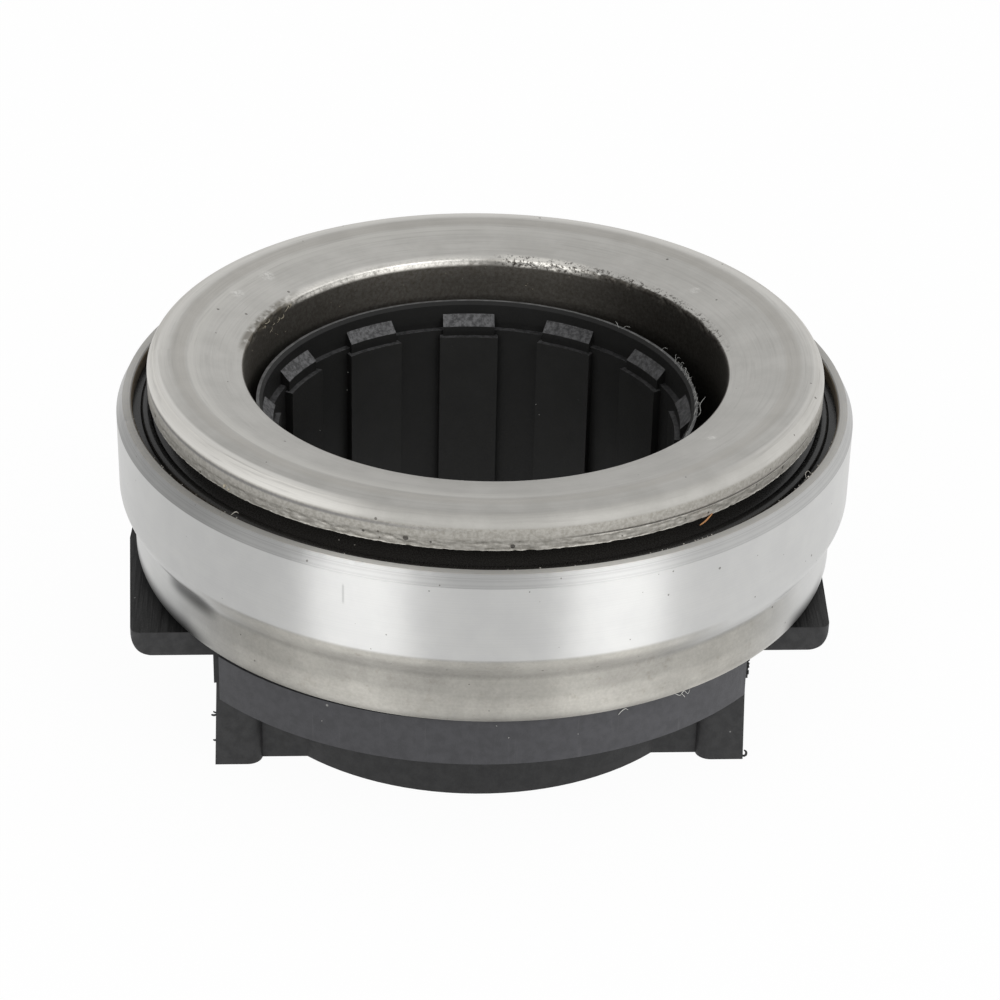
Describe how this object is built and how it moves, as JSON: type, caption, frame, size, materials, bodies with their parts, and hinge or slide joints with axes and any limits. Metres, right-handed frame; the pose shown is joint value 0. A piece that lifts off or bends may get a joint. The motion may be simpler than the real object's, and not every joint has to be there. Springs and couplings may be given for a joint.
{
  "type": "clutch release bearing",
  "caption": "Clutch release bearing: a steel thrust ball bearing with a dished face, floating on a ribbed black plastic guide sleeve with a flange, lugs and two fork ears.",
  "frame": {"origin": "on the axis of the sleeve's guide bore, level with the bottom of its boss", "axes": "+Z along the guide bore towards the thrust face, X from ear to ear"},
  "size_m": [0.0644, 0.0644, 0.0317],
  "materials": {
    "sleeve_plastic": "moulded, semi-matte",
    "thrust_steel": "turned, satin",
    "ring_steel": "ground band, dull cup",
    "seal_rubber": "matte",
    "shield_steel": "pressed",
    "spring_steel": "hardened",
    "ball_steel": "polished",
    "cage_plastic": "moulded"
  },
  "bodies": {
    "sleeve": {"sleeve": "sleeve_plastic", "retaining_ring": "spring_steel"},
    "float_spring": {"disc_spring": "spring_steel"},
    "bearing_housing": {"outer_ring": "ring_steel", "upper_seal": "seal_rubber", "lower_shield": "shield_steel"},
    "thrust_ring": {"thrust_ring": "thrust_steel"},
    "ball_cage": {"ball_cage": "cage_plastic"},
    "ball_01": {"ball_01": "ball_steel"},
    "ball_02": {"ball_02": "ball_steel"},
    "ball_03": {"ball_03": "ball_steel"},
    "ball_04": {"ball_04": "ball_steel"},
    "ball_05": {"ball_05": "ball_steel"},
    "ball_06": {"ball_06": "ball_steel"},
    "ball_07": {"ball_07": "ball_steel"},
    "ball_08": {"ball_08": "ball_steel"},
    "ball_09": {"ball_09": "ball_steel"},
    "ball_10": {"ball_10": "ball_steel"},
    "ball_11": {"ball_11": "ball_steel"},
    "ball_12": {"ball_12": "ball_steel"},
    "ball_13": {"ball_13": "ball_steel"},
    "ball_14": {"ball_14": "ball_steel"},
    "ball_15": {"ball_15": "ball_steel"},
    "ball_16": {"ball_16": "ball_steel"}
  },
  "joints": [
    {"name": "float_x", "type": "slide", "parent": "sleeve", "child": "float_spring", "axis": [1, 0, 0], "range_m": [-0.0017, 0.0003]},
    {"name": "float_y", "type": "slide", "parent": "float_spring", "child": "bearing_housing", "axis": [0, 1, 0], "range_m": [-0.001, 0.001]},
    {"name": "thrust_spin", "type": "hinge", "parent": "bearing_housing", "child": "thrust_ring", "pos_m": [0.0007, 0, 0.02243], "axis": [0, 0, 1], "continuous": true},
    {"name": "cage_spin", "type": "hinge", "parent": "bearing_housing", "child": "ball_cage", "pos_m": [0.0007, 0, 0.02243], "axis": [0, 0, 1], "continuous": true},
    {"name": "ball_01_roll", "type": "hinge", "parent": "ball_cage", "child": "ball_01", "pos_m": [0.02734, 0, 0.02243], "axis": [0.6428, 0, 0.766], "continuous": true},
    {"name": "ball_02_roll", "type": "hinge", "parent": "ball_cage", "child": "ball_02", "pos_m": [0.02531, 0.01019, 0.02243], "axis": [0.5939, 0.246, 0.766], "continuous": true},
    {"name": "ball_03_roll", "type": "hinge", "parent": "ball_cage", "child": "ball_03", "pos_m": [0.01954, 0.01884, 0.02243], "axis": [0.4545, 0.4545, 0.766], "continuous": true},
    {"name": "ball_04_roll", "type": "hinge", "parent": "ball_cage", "child": "ball_04", "pos_m": [0.01089, 0.02461, 0.02243], "axis": [0.246, 0.5939, 0.766], "continuous": true},
    {"name": "ball_05_roll", "type": "hinge", "parent": "ball_cage", "child": "ball_05", "pos_m": [0.0007, 0.02664, 0.02243], "axis": [0, 0.6428, 0.766], "continuous": true},
    {"name": "ball_06_roll", "type": "hinge", "parent": "ball_cage", "child": "ball_06", "pos_m": [-0.00949, 0.02461, 0.02243], "axis": [-0.246, 0.5939, 0.766], "continuous": true},
    {"name": "ball_07_roll", "type": "hinge", "parent": "ball_cage", "child": "ball_07", "pos_m": [-0.01814, 0.01884, 0.02243], "axis": [-0.4545, 0.4545, 0.766], "continuous": true},
    {"name": "ball_08_roll", "type": "hinge", "parent": "ball_cage", "child": "ball_08", "pos_m": [-0.02391, 0.01019, 0.02243], "axis": [-0.5939, 0.246, 0.766], "continuous": true},
    {"name": "ball_09_roll", "type": "hinge", "parent": "ball_cage", "child": "ball_09", "pos_m": [-0.02594, 0, 0.02243], "axis": [-0.6428, 0, 0.766], "continuous": true},
    {"name": "ball_10_roll", "type": "hinge", "parent": "ball_cage", "child": "ball_10", "pos_m": [-0.02391, -0.01019, 0.02243], "axis": [-0.5939, -0.246, 0.766], "continuous": true},
    {"name": "ball_11_roll", "type": "hinge", "parent": "ball_cage", "child": "ball_11", "pos_m": [-0.01814, -0.01884, 0.02243], "axis": [-0.4545, -0.4545, 0.766], "continuous": true},
    {"name": "ball_12_roll", "type": "hinge", "parent": "ball_cage", "child": "ball_12", "pos_m": [-0.00949, -0.02461, 0.02243], "axis": [-0.246, -0.5939, 0.766], "continuous": true},
    {"name": "ball_13_roll", "type": "hinge", "parent": "ball_cage", "child": "ball_13", "pos_m": [0.0007, -0.02664, 0.02243], "axis": [0, -0.6428, 0.766], "continuous": true},
    {"name": "ball_14_roll", "type": "hinge", "parent": "ball_cage", "child": "ball_14", "pos_m": [0.01089, -0.02461, 0.02243], "axis": [0.246, -0.5939, 0.766], "continuous": true},
    {"name": "ball_15_roll", "type": "hinge", "parent": "ball_cage", "child": "ball_15", "pos_m": [0.01954, -0.01884, 0.02243], "axis": [0.4545, -0.4545, 0.766], "continuous": true},
    {"name": "ball_16_roll", "type": "hinge", "parent": "ball_cage", "child": "ball_16", "pos_m": [0.02531, -0.01019, 0.02243], "axis": [0.5939, -0.246, 0.766], "continuous": true}
  ],
  "couplings": [
    {"joint": "cage_spin", "follows": "thrust_spin", "ratio": 0.4543},
    {"joint": "ball_01_roll", "follows": "thrust_spin", "ratio": -4.1602},
    {"joint": "ball_02_roll", "follows": "thrust_spin", "ratio": -4.1602},
    {"joint": "ball_03_roll", "follows": "thrust_spin", "ratio": -4.1602},
    {"joint": "ball_04_roll", "follows": "thrust_spin", "ratio": -4.1602},
    {"joint": "ball_05_roll", "follows": "thrust_spin", "ratio": -4.1602},
    {"joint": "ball_06_roll", "follows": "thrust_spin", "ratio": -4.1602},
    {"joint": "ball_07_roll", "follows": "thrust_spin", "ratio": -4.1602},
    {"joint": "ball_08_roll", "follows": "thrust_spin", "ratio": -4.1602},
    {"joint": "ball_09_roll", "follows": "thrust_spin", "ratio": -4.1602},
    {"joint": "ball_10_roll", "follows": "thrust_spin", "ratio": -4.1602},
    {"joint": "ball_11_roll", "follows": "thrust_spin", "ratio": -4.1602},
    {"joint": "ball_12_roll", "follows": "thrust_spin", "ratio": -4.1602},
    {"joint": "ball_13_roll", "follows": "thrust_spin", "ratio": -4.1602},
    {"joint": "ball_14_roll", "follows": "thrust_spin", "ratio": -4.1602},
    {"joint": "ball_15_roll", "follows": "thrust_spin", "ratio": -4.1602},
    {"joint": "ball_16_roll", "follows": "thrust_spin", "ratio": -4.1602}
  ]
}
